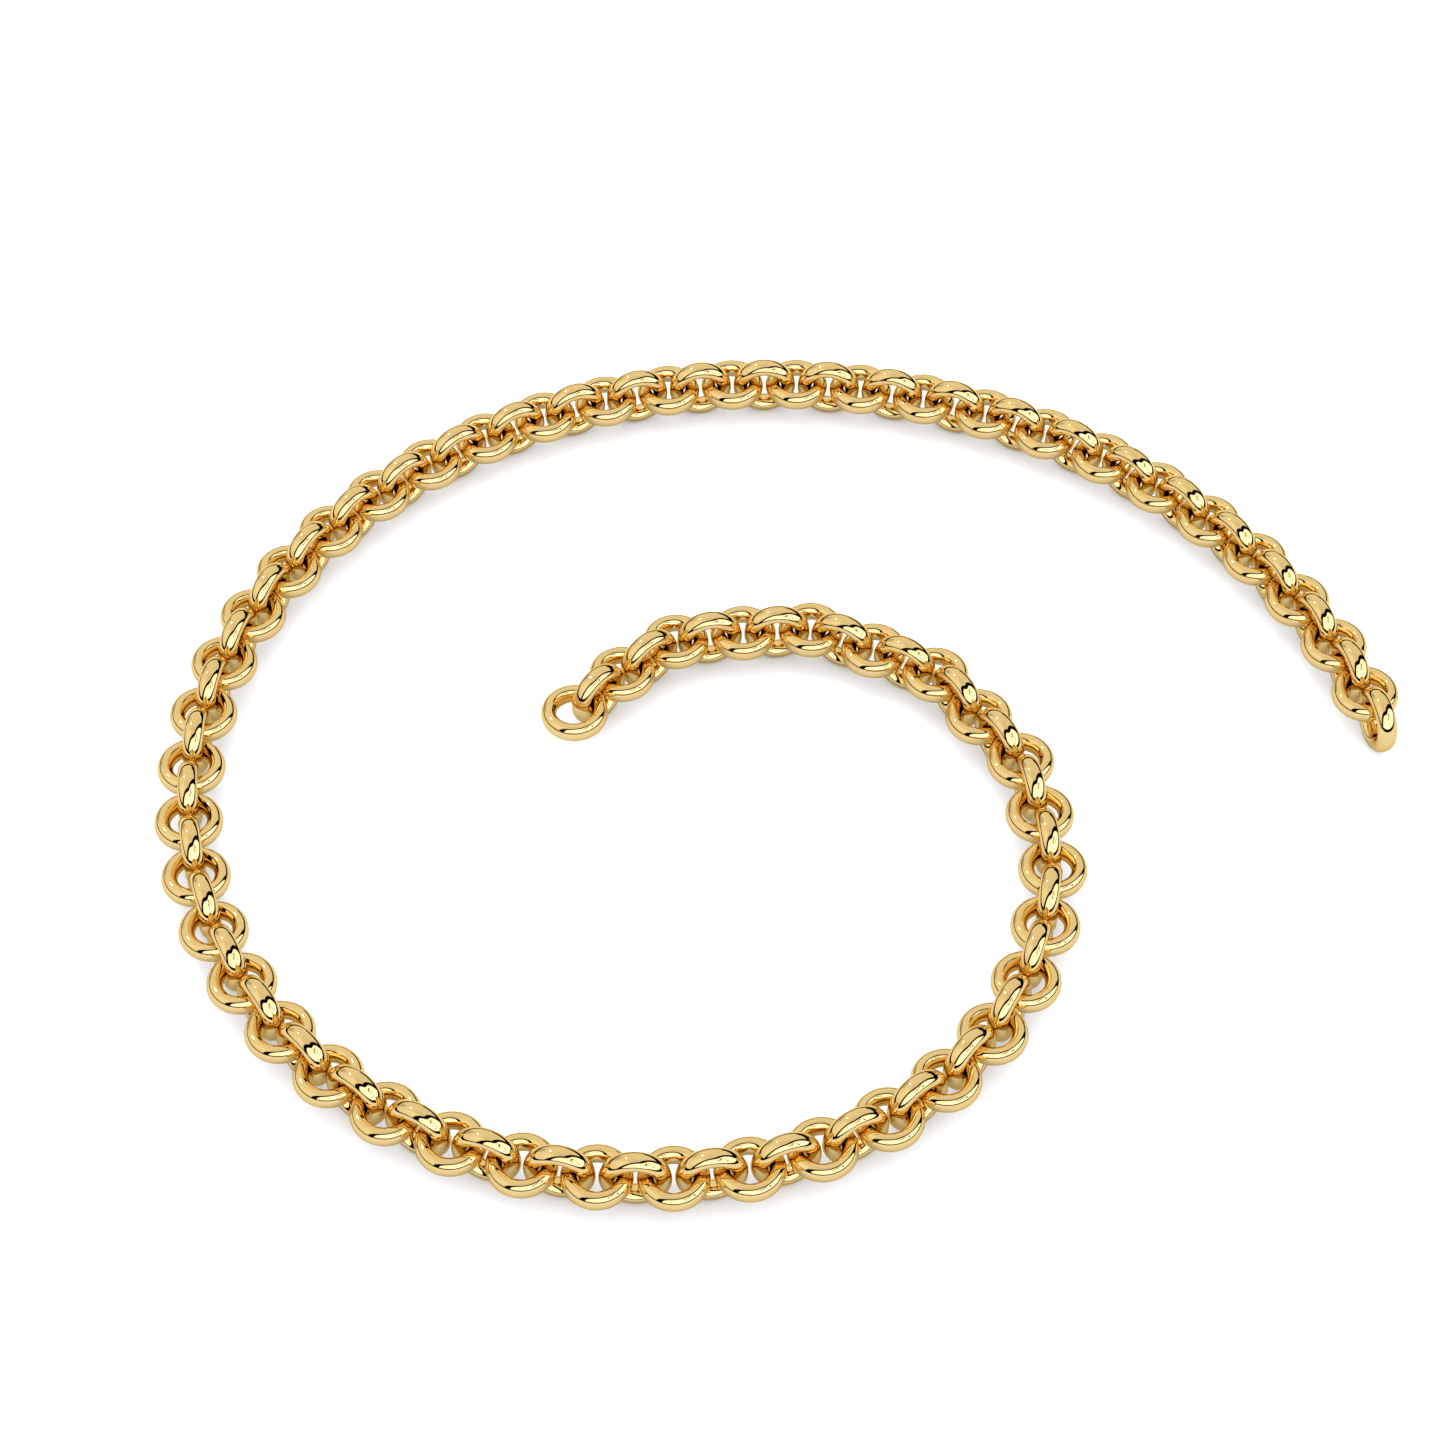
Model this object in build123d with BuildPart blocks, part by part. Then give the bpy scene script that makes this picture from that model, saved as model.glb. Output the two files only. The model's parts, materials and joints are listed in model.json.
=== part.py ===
from build123d import *
import math
import os

# Rolo (belcher) chain necklace lying coiled on a flat surface.
# Every link is the same closed ring. Flat rings lie level and standing rings
# stand on edge, in turn, and each ring passes through the next one's hole.
# Millimetres, +Z up. The chain rests on Z = 0, and the origin is under the
# middle of its outline.

# ---- driving sizes ----
ring_outer_d = 8.1       # outside diameter of every ring
ring_gap = 0.3           # space left between a ring and the next ring but one
link_play = 0.1          # clearance between a ring's inside wall and the wire through it
wire_h = 2.4             # oval wire: its height along the ring's axis
link_count = 108         # flat and standing rings together, an even number
single_links = 4         # links at each end that are nodes of their own, an even number
start_heading = 47.7     # direction of the chain at its inner end, from +X

# How the chain curls, clockwise seen from above: the mean turn at a flat ring,
# in degrees, at a few flat rings counted from the inner end. Between them it
# changes evenly.
coil_turns = ((1, 19.4), (8, 12.4), (20, 9.0), (36, 6.9), (52, 6.1))

# Close to the inner end the bends alternate, one slack and one tight.
sway = 11.0              # degrees taken off one turn and added to the next
sway_full_to = 7         # last flat ring with the whole of it
sway_none_from = 12      # first flat ring without it

# ---- sizes that follow ----
# The wire's width leaves room for two neighbours' wires side by side in each hole.
wire_w = (ring_outer_d - ring_gap) / 4 - link_play / 2
ring_inner_d = ring_outer_d - 2 * wire_w
link_pitch = ring_inner_d - link_play
ring_mean_r = (ring_outer_d - wire_w) / 2
centre_height = ring_outer_d / 2
flat_count = link_count // 2


def between(points, x):
    # straight-line value at x, held level past either end
    if x <= points[0][0]:
        return points[0][1]
    for (x0, y0), (x1, y1) in zip(points, points[1:]):
        if x <= x1:
            return y0 + (y1 - y0) * (x - x0) / (x1 - x0)
    return points[-1][1]


def turn_at(flat):
    # clockwise turn, in degrees, of the chain as it passes through this flat ring
    swing = between(((sway_full_to, sway), (sway_none_from, 0.0)), flat)
    side = 1 if flat % 2 == 0 else -1
    return between(coil_turns, flat) + side * swing


# ---- where every ring lies: (kind, x, y, heading in degrees) ----
rings = []
x_now, y_now, heading = 0.0, 0.0, start_heading
for flat in range(flat_count):
    if flat > 0:
        heading = heading - turn_at(flat)
    step_x = link_pitch * math.cos(math.radians(heading))
    step_y = link_pitch * math.sin(math.radians(heading))
    rings.append(("flat", x_now, y_now, heading))
    rings.append(("standing", x_now + step_x, y_now + step_y, heading))
    x_now, y_now = x_now + 2 * step_x, y_now + 2 * step_y


def reach(ring, along_x):
    # half the width of a ring's outline along X or along Y
    kind, x, y, turned = ring
    if kind == "flat":
        return ring_outer_d / 2
    angle = math.radians(turned if along_x else turned - 90)
    in_plane, across = abs(math.cos(angle)), abs(math.sin(angle))
    return ring_mean_r * in_plane + math.hypot(wire_w * in_plane, wire_h * across) / 2


left = min(ring[1] - reach(ring, True) for ring in rings)
right = max(ring[1] + reach(ring, True) for ring in rings)
front = min(ring[2] - reach(ring, False) for ring in rings)
back = max(ring[2] + reach(ring, False) for ring in rings)
middle_x, middle_y = (left + right) / 2, (front + back) / 2


def ring_axis(number):
    # the line through a ring's centre, square to the ring
    kind, x, y, turned = rings[number]
    centre = (x - middle_x, y - middle_y, centre_height)
    if kind == "flat":
        return Axis(centre, (0, 0, 1))
    angle = math.radians(turned)
    return Axis(centre, (-math.sin(angle), math.cos(angle), 0))


def wire_plane(number):
    # plane across the wire: X runs out from the ring's centre, Y along its axis
    kind, x, y, turned = rings[number]
    centre = (x - middle_x, y - middle_y, centre_height)
    angle = math.radians(turned)
    outward = (math.cos(angle), math.sin(angle), 0)
    if kind == "flat":
        return Plane(origin=centre, x_dir=outward, z_dir=(math.sin(angle), -math.cos(angle), 0))
    return Plane(origin=centre, x_dir=outward, z_dir=(0, 0, 1))


# ---- which rings share a node ----
# A flat ring and the standing ring after it make one node, and the last few
# links at each end are nodes of their own.
groups = [(number,) for number in range(single_links)]
for number in range(single_links, link_count - single_links, 2):
    groups.append((number, number + 1))
groups += [(number,) for number in range(link_count - single_links, link_count)]

# ---- build ----
os.makedirs("parts", exist_ok=True)
for group in groups:
    with BuildPart() as links:
        for number in group:
            with BuildSketch(wire_plane(number)) as wire:
                with Locations((ring_mean_r, 0)):
                    Ellipse(wire_w / 2, wire_h / 2)
            revolve(axis=ring_axis(number))
    kinds = [rings[number][0] for number in group]
    name = "_and_".join(kinds) + "_" + "_".join(f"{number:03d}" for number in group)
    links.part.label = name
    export_step(links.part, f"parts/{name}.step")
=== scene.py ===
"""Looks of a rolo chain necklace: polished gold rings lying coiled on a white studio floor."""
import json
import math

import bpy
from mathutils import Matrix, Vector

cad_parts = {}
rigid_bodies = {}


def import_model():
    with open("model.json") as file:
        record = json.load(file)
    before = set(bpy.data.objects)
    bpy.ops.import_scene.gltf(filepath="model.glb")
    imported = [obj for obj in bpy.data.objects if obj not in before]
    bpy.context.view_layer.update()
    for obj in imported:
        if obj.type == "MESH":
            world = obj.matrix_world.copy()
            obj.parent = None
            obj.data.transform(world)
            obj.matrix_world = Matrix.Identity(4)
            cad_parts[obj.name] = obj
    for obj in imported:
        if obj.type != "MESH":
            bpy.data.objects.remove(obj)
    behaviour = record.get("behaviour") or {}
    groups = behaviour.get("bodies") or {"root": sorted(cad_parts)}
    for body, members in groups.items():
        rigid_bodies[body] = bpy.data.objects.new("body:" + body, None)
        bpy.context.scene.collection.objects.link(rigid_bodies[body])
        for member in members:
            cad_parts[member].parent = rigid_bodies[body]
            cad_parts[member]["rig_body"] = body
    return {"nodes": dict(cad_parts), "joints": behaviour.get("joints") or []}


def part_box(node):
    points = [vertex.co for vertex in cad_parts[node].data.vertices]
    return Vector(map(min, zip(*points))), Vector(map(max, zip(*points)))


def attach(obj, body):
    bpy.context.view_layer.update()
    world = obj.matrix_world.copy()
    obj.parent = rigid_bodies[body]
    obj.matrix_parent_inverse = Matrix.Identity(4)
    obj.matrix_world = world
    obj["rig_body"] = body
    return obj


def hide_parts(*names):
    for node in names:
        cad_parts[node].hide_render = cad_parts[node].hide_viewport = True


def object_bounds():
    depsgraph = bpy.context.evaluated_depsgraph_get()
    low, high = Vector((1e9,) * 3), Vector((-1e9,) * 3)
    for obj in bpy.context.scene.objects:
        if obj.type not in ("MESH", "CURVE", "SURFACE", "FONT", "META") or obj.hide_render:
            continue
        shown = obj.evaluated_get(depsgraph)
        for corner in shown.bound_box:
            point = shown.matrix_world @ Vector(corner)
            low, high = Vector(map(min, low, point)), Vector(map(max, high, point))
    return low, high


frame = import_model()
cad_low, cad_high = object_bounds()

# Lengths are in metres and angles in degrees, unless a comment says otherwise. Azimuth 0 is the
# back, 90 the right and 180 the front, where the camera is. Height 0 is the horizon.

# ---- camera ----
VIEW_ELEVATION = 49.4               # camera height above the horizon
VIEW_DISTANCE = 0.4518              # from the point looked at
VIEW_OFFSET = (-0.0073, 0.0037)     # point looked at, from the middle of the chain's box
VIEW_LENS = 93.3                    # focal length, in millimetres
SENSOR_WIDTH = 36.0                 # in millimetres

# ---- rings ----
STEPS_AROUND = 128                  # facets round each ring
STEPS_ACROSS = 48                   # facets round its wire

# ---- gold ----
GOLD = (0.83, 0.60, 0.255)          # polished yellow gold, linear
GOLD_DEEPER = (0.985, 0.975, 0.95)  # share of it that is left in the deeper patches
GOLD_EDGE = (1.0, 0.84, 0.52, 1)    # its tint where it is seen edge on
HAZE_SCALE = 420.0                  # noise scales, per metre
WAVE_SCALE = 260.0
HAIRLINE_SCALE = (5200.0, 900.0, 2600.0)
HAIRLINE_TURN = (0.35, 0.6, 0.9)    # in radians
HAZE_RANGE = (0.30, 0.70)           # noise values that the haze's roughness runs between
HAZE_ROUGHNESS = (0.015, 0.045)
TINT_RANGE = (0.25, 0.75)           # noise values that the deeper patches run between
HAIRLINE_RANGE = (0.62, 0.78)       # noise values at a hairline's edge and at its middle
HAIRLINE_ROUGHNESS = (0.0, 0.03)    # what the hairlines add

# ---- floor ----
FLOOR_RADIUS = 6.0
FLOOR_STEPS = 96
FLOOR_LIGHT = (0.96, 1.0, 1.07, 1)
FILL = 2.15                         # even light on the floor
FLOOR = 0.80                        # how much of it the floor gives back
FLOOR_MIRRORED = 0.49               # and how much of it the gold shows

# ---- brightness and colours of the room that the gold mirrors ----
WALL_TINT = (1.0, 0.99, 0.95, 1)
DAYLIGHT = (0.97, 1.03, 1.20, 1)    # colour of the window
CEILING = 0.96
SIDE_CHANGE = -0.08                 # added at the far right, and taken off at the far left
OVERHEAD = 0.88                     # share of the ceiling's brightness straight above
REFLECTOR = 1.16
STAND = 0.60
WINDOW = 1.68
PANE = 2.3                          # the window's brightest part
SHADE = 0.0

# ---- where the room's parts are ----
# A panel is its azimuths, its heights and the softness of its edges.
FIRST_AZIMUTH = -20.0               # azimuths are counted from here, right round
OVERHEAD_HEIGHTS = (66.0, 86.0)
REFLECTOR_PANEL = ((228.0, 272.0), (30.0, 64.0), 7.0)
STAND_PANEL = ((303.0, 326.0), (0.0, 34.0), 6.0)
FOOT_BAND = (-2.0, 10.0, 1.0)       # heights and softness, all the way round
RIGHT_FOOT_PANEL = ((16.0, 84.0), (-2.0, 19.0), 2.0)
ARCH_MIDDLE = 142.0                 # azimuth
ARCH_HALF_WIDTH = 84.0
ARCH_HEIGHT = 74.0
ARCH_POWER = 4.0                    # 2 would be an ellipse, and more is squarer
ARCH_EDGE = (0.92, 1.08)            # the arch is 0 at its middle and 1 at its outline
GLASS_EDGE = (0.40, 0.46)
SILL_HEIGHTS = (10.0, 12.0)
PANE_PANEL = ((96.0, 176.0), (14.0, 40.0), 4.0)
CLUTTER_PANEL = ((112.0, 152.0), (18.0, 54.0), 4.0)
CLUTTER_SCALE = 7.0
CLUTTER_EDGE = (0.52, 0.56)         # noise values at the edge of a thing before the window


# ---- node helpers ----
def set_input(tree, socket, value):
    """Sets a socket from a constant, or links it from another node's socket."""
    if isinstance(value, bpy.types.NodeSocket):
        tree.links.new(value, socket)
    else:
        socket.default_value = value


def add(tree, kind, **inputs):
    """A new node with these inputs set."""
    node = tree.nodes.new(kind)
    for name, value in inputs.items():
        set_input(tree, node.inputs[name.replace("_", " ")], value)
    return node


def maths(tree, operation, first, second=0.0, third=0.0):
    """One Math node's result."""
    node = tree.nodes.new("ShaderNodeMath")
    node.operation = operation
    for socket, value in zip(node.inputs, (first, second, third)):
        set_input(tree, socket, value)
    return node.outputs[0]


def ramp(tree, value, low, high, at_low=0.0, at_high=1.0):
    """Value mapped smoothly from low..high to at_low..at_high."""
    node = tree.nodes.new("ShaderNodeMapRange")
    node.interpolation_type = "SMOOTHSTEP"
    limits = (low, high, at_low, at_high)
    for name, number in zip(("From Min", "From Max", "To Min", "To Max"), limits):
        node.inputs[name].default_value = number
    tree.links.new(value, node.inputs["Value"])
    return node.outputs["Result"]


def blend(tree, factor, first, second):
    """A colour between these two."""
    node = tree.nodes.new("ShaderNodeMix")
    node.data_type = "RGBA"
    tree.links.new(factor, node.inputs["Factor"])
    # the colour sockets, by number, because a Mix node has several called A, B and Result
    node.inputs[6].default_value = first
    node.inputs[7].default_value = second
    return node.outputs[2]


def new_material(name):
    """A material and its empty node tree."""
    material = bpy.data.materials.new(name)
    material.use_nodes = True
    material.node_tree.nodes.clear()
    return material, material.node_tree


# ---- gold ----
def polished_gold():
    """Mirror-bright gold with faint haze, hairlines and an uneven, hand-buffed surface."""
    material, tree = new_material("polished_gold")
    place = tree.nodes.new("ShaderNodeTexCoord").outputs["Object"]

    haze = add(tree, "ShaderNodeTexNoise", Vector=place, Scale=HAZE_SCALE, Detail=3.0,
               Roughness=0.6)
    stretch = add(tree, "ShaderNodeMapping", Vector=place, Scale=HAIRLINE_SCALE,
                  Rotation=HAIRLINE_TURN)
    hairlines = add(tree, "ShaderNodeTexNoise", Vector=stretch.outputs[0], Scale=1.0, Detail=2.0,
                    Roughness=0.5)
    waves = add(tree, "ShaderNodeTexNoise", Vector=place, Scale=WAVE_SCALE, Detail=1.0,
                Roughness=0.4)

    shine = ramp(tree, haze.outputs["Fac"], *HAZE_RANGE, *HAZE_ROUGHNESS)
    lines = ramp(tree, hairlines.outputs["Fac"], *HAIRLINE_RANGE, *HAIRLINE_ROUGHNESS)
    roughness = maths(tree, "ADD", shine, lines)

    soft = add(tree, "ShaderNodeBump", Strength=0.03, Distance=0.0002, Height=waves.outputs["Fac"])
    fine = add(tree, "ShaderNodeBump", Strength=0.015, Distance=0.00002,
               Height=hairlines.outputs["Fac"], Normal=soft.outputs[0])

    deeper = (*(part * share for part, share in zip(GOLD, GOLD_DEEPER)), 1)
    tint = blend(tree, ramp(tree, haze.outputs["Fac"], *TINT_RANGE), deeper, (*GOLD, 1))

    shader = add(tree, "ShaderNodeBsdfPrincipled", Metallic=1.0, Base_Color=tint,
                 Specular_Tint=GOLD_EDGE, Roughness=roughness, Normal=fine.outputs[0])
    output = tree.nodes.new("ShaderNodeOutputMaterial")
    tree.links.new(shader.outputs[0], output.inputs["Surface"])
    return material


# ---- the chain's layout, read from the frame ----
def ring_sizes(node):
    """Inside diameter, outside diameter and height of a ring that lies flat."""
    low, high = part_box(node)
    middle = (low + high) / 2
    points = [v.co for v in frame["nodes"][node].data.vertices]
    reach = [math.hypot(p.x - middle.x, p.y - middle.y) for p in points]
    return 2 * min(reach), 2 * max(reach), high.z - low.z


def middle_of(node):
    """The middle of a node's box."""
    low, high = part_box(node)
    return (low + high) / 2


def chain_layout():
    """Every ring as (centre, direction of the chain, ring's axis), from the inner end.
    Flat rings are where the chain swings. A standing ring is midway between its two flat ones."""
    swings = sorted(j["name"] for j in frame["joints"] if j["name"].startswith("swing_at_"))
    places = {j["name"]: Vector(j["pos_m"]) for j in frame["joints"]}
    flats = [middle_of("flat_000")] + [places[name] for name in swings]
    # where one more flat ring would lie, so that the last standing ring has one on either side
    last_standing = middle_of(f"standing_{2 * len(flats) - 1:03d}")
    flats.append(2 * last_standing - flats[-1])
    rings = []
    up = Vector((0, 0, 1))
    for here, following in zip(flats, flats[1:]):
        along = (following - here).normalized()
        rings.append((here, along, up))
        rings.append(((here + following) / 2, along, up.cross(along)))
    return rings


def ring_mesh(points, faces, ring, sizes):
    """Adds one closed ring of oval wire to the lists of points and faces."""
    centre, along, axis = ring
    inside, outside, height = sizes
    wire = (outside - inside) / 2
    mean = (outside + inside) / 4
    aside = axis.cross(along)
    first = len(points)
    for i in range(STEPS_AROUND):
        turn = 2 * math.pi * i / STEPS_AROUND
        outward = along * math.cos(turn) + aside * math.sin(turn)
        for j in range(STEPS_ACROSS):
            roll = 2 * math.pi * j / STEPS_ACROSS
            points.append(centre + outward * (mean + wire / 2 * math.cos(roll))
                          + axis * (height / 2 * math.sin(roll)))
    for i in range(STEPS_AROUND):
        here, ahead = i * STEPS_ACROSS, (i + 1) % STEPS_AROUND * STEPS_ACROSS
        for j in range(STEPS_ACROSS):
            k = (j + 1) % STEPS_ACROSS
            faces.append([first + n for n in (here + j, ahead + j, ahead + k, here + k)])


def build_links(material):
    """One gold piece for every CAD node, holding that node's one or two rings."""
    rings = chain_layout()
    sizes = ring_sizes("flat_000")
    for name, node in frame["nodes"].items():
        numbers = [int(word) for word in name.split("_") if word.isdigit()]
        points, faces = [], []
        for number in numbers:
            ring_mesh(points, faces, rings[number], sizes)
        mesh = bpy.data.meshes.new("gold_" + name)
        mesh.from_pydata([tuple(p) for p in points], [], faces)
        mesh.polygons.foreach_set("use_smooth", [True] * len(faces))
        mesh.materials.append(material)
        mesh.update()
        piece = bpy.data.objects.new("gold_" + name, mesh)
        bpy.context.scene.collection.objects.link(piece)
        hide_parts(name)
        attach(piece, node["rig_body"])


# ---- studio ----
def build_floor():
    """A wide white disc under the chain, which the gold mirrors darker than the camera sees it."""
    material, tree = new_material("white_floor")
    path = tree.nodes.new("ShaderNodeLightPath")
    grey = blend(tree, path.outputs["Is Glossy Ray"], (FLOOR, FLOOR, FLOOR, 1),
                 (FLOOR_MIRRORED, FLOOR_MIRRORED, FLOOR_MIRRORED, 1))
    shader = add(tree, "ShaderNodeBsdfDiffuse", Color=grey)
    output = tree.nodes.new("ShaderNodeOutputMaterial")
    tree.links.new(shader.outputs[0], output.inputs["Surface"])
    rim = [(FLOOR_RADIUS * math.cos(2 * math.pi * i / FLOOR_STEPS),
            FLOOR_RADIUS * math.sin(2 * math.pi * i / FLOOR_STEPS), cad_low.z)
           for i in range(FLOOR_STEPS)]
    mesh = bpy.data.meshes.new("floor")
    mesh.from_pydata(rim, [], [list(range(FLOOR_STEPS))])
    mesh.materials.append(material)
    floor = bpy.data.objects.new("floor", mesh)
    bpy.context.scene.collection.objects.link(floor)


def between(tree, value, low, high, blur):
    """1 where the value lies from low to high, 0 outside, with edges this soft."""
    rise = ramp(tree, value, low - blur, low + blur)
    fall = ramp(tree, value, high - blur, high + blur, 1.0, 0.0)
    return maths(tree, "MULTIPLY", rise, fall)


def panel(tree, azimuth, height, sides, ends, blur):
    """1 inside a panel of the room's walls, given by its azimuths and heights."""
    across = between(tree, azimuth, *sides, blur)
    upright = between(tree, height, *ends, blur)
    return maths(tree, "MULTIPLY", across, upright)


def paint(tree, room, mask, brightness):
    """The room with this brightness wherever the mask is 1."""
    change = maths(tree, "SUBTRACT", brightness, room)
    return maths(tree, "MULTIPLY_ADD", mask, change, room)


def build_studio():
    """The room that the gold mirrors, the even light on the floor and the white behind it."""
    world = bpy.data.worlds.new("studio")
    bpy.context.scene.world = world
    world.use_nodes = True
    tree = world.node_tree
    tree.nodes.clear()
    where = tree.nodes.new("ShaderNodeTexCoord").outputs["Generated"]
    x, y, z = add(tree, "ShaderNodeSeparateXYZ", Vector=where).outputs
    height = maths(tree, "MULTIPLY", maths(tree, "ARCSINE", z), 180 / math.pi)
    azimuth = maths(tree, "MULTIPLY", maths(tree, "ARCTAN2", x, y), 180 / math.pi)
    azimuth = maths(tree, "WRAP", azimuth, FIRST_AZIMUTH + 360.0, FIRST_AZIMUTH)

    room = maths(tree, "MULTIPLY_ADD", x, SIDE_CHANGE, CEILING)
    room = paint(tree, room, ramp(tree, height, *OVERHEAD_HEIGHTS), CEILING * OVERHEAD)
    # a soft reflector at the left, a grey stand at the back left, and the dark foot of the walls
    room = paint(tree, room, panel(tree, azimuth, height, *REFLECTOR_PANEL), REFLECTOR)
    room = paint(tree, room, panel(tree, azimuth, height, *STAND_PANEL), STAND)
    room = paint(tree, room, between(tree, height, *FOOT_BAND), SHADE)
    room = paint(tree, room, panel(tree, azimuth, height, *RIGHT_FOOT_PANEL), SHADE)

    # the window, front and right, under an arch with a wide black edge
    from_middle = maths(tree, "SUBTRACT", azimuth, ARCH_MIDDLE)
    aside = maths(tree, "ABSOLUTE", maths(tree, "DIVIDE", from_middle, ARCH_HALF_WIDTH))
    above = maths(tree, "ABSOLUTE", maths(tree, "DIVIDE", height, ARCH_HEIGHT))
    arch = maths(tree, "ADD", maths(tree, "POWER", aside, ARCH_POWER),
                 maths(tree, "POWER", above, ARCH_POWER))
    room = paint(tree, room, ramp(tree, arch, *ARCH_EDGE, 1.0, 0.0), SHADE)
    glass = maths(tree, "MULTIPLY", ramp(tree, arch, *GLASS_EDGE, 1.0, 0.0),
                  ramp(tree, height, *SILL_HEIGHTS))
    room = paint(tree, room, glass, WINDOW)
    room = paint(tree, room, panel(tree, azimuth, height, *PANE_PANEL), PANE)
    # things that stand before the window
    clutter = add(tree, "ShaderNodeTexNoise", Vector=where, Scale=CLUTTER_SCALE, Detail=2.0,
                  Roughness=0.5)
    things = panel(tree, azimuth, height, *CLUTTER_PANEL)
    dark = ramp(tree, clutter.outputs["Fac"], *CLUTTER_EDGE)
    room = paint(tree, room, maths(tree, "MULTIPLY", things, dark), SHADE)

    # the gold mirrors the room, the floor gets the even light, and the camera sees plain white
    path = tree.nodes.new("ShaderNodeLightPath")
    colour = blend(tree, glass, WALL_TINT, DAYLIGHT)
    shown = add(tree, "ShaderNodeBackground", Color=colour, Strength=room)
    even = add(tree, "ShaderNodeBackground", Color=FLOOR_LIGHT, Strength=FILL)
    plain = add(tree, "ShaderNodeBackground", Color=(1, 1, 1, 1), Strength=1.0)
    first = add(tree, "ShaderNodeMixShader", Fac=path.outputs["Is Glossy Ray"])
    tree.links.new(even.outputs[0], first.inputs[1])
    tree.links.new(shown.outputs[0], first.inputs[2])
    second = add(tree, "ShaderNodeMixShader", Fac=path.outputs["Is Camera Ray"])
    tree.links.new(first.outputs[0], second.inputs[1])
    tree.links.new(plain.outputs[0], second.inputs[2])
    output = tree.nodes.new("ShaderNodeOutputWorld")
    tree.links.new(second.outputs[0], output.inputs["Surface"])


def place_light(name, azimuth, elevation, distance, size, power, glossy):
    """A square soft light this far from the origin, under the chain's middle, and facing it."""
    around, above = math.radians(azimuth), math.radians(elevation)
    direction = Vector((math.sin(around) * math.cos(above),
                        math.cos(around) * math.cos(above), math.sin(above)))
    data = bpy.data.lights.new(name, "AREA")
    data.size = size
    data.energy = power
    light = bpy.data.objects.new(name, data)
    light.location = direction * distance
    light.rotation_mode = "QUATERNION"
    light.rotation_quaternion = direction.to_track_quat("Z", "Y")
    light.visible_camera = False
    light.visible_glossy = glossy
    bpy.context.scene.collection.objects.link(light)


def build_lights():
    """A broad key light that throws the soft shadows, and a small one that the gold glints with."""
    place_light("key", azimuth=-32.0, elevation=55.0, distance=1.2, size=1.0, power=3.0,
                glossy=False)
    place_light("sparkle", azimuth=-47.0, elevation=54.0, distance=2.0, size=0.12, power=1.0,
                glossy=True)


def build_camera():
    """The camera at the picture's angle."""
    data = bpy.data.cameras.new("camera")
    data.lens = VIEW_LENS
    data.sensor_width = SENSOR_WIDTH
    camera = bpy.data.objects.new("camera", data)
    target = (cad_low + cad_high) / 2 + Vector((*VIEW_OFFSET, 0))
    elevation = math.radians(VIEW_ELEVATION)
    back = Vector((0, -math.cos(elevation), math.sin(elevation)))
    camera.location = target + back * VIEW_DISTANCE
    camera.rotation_mode = "QUATERNION"
    camera.rotation_quaternion = (-back).to_track_quat("-Z", "Y")
    bpy.context.scene.collection.objects.link(camera)
    bpy.context.scene.camera = camera


build_camera()
build_links(polished_gold())
build_floor()
build_studio()
build_lights()
bpy.context.scene.view_settings.view_transform = "Standard"
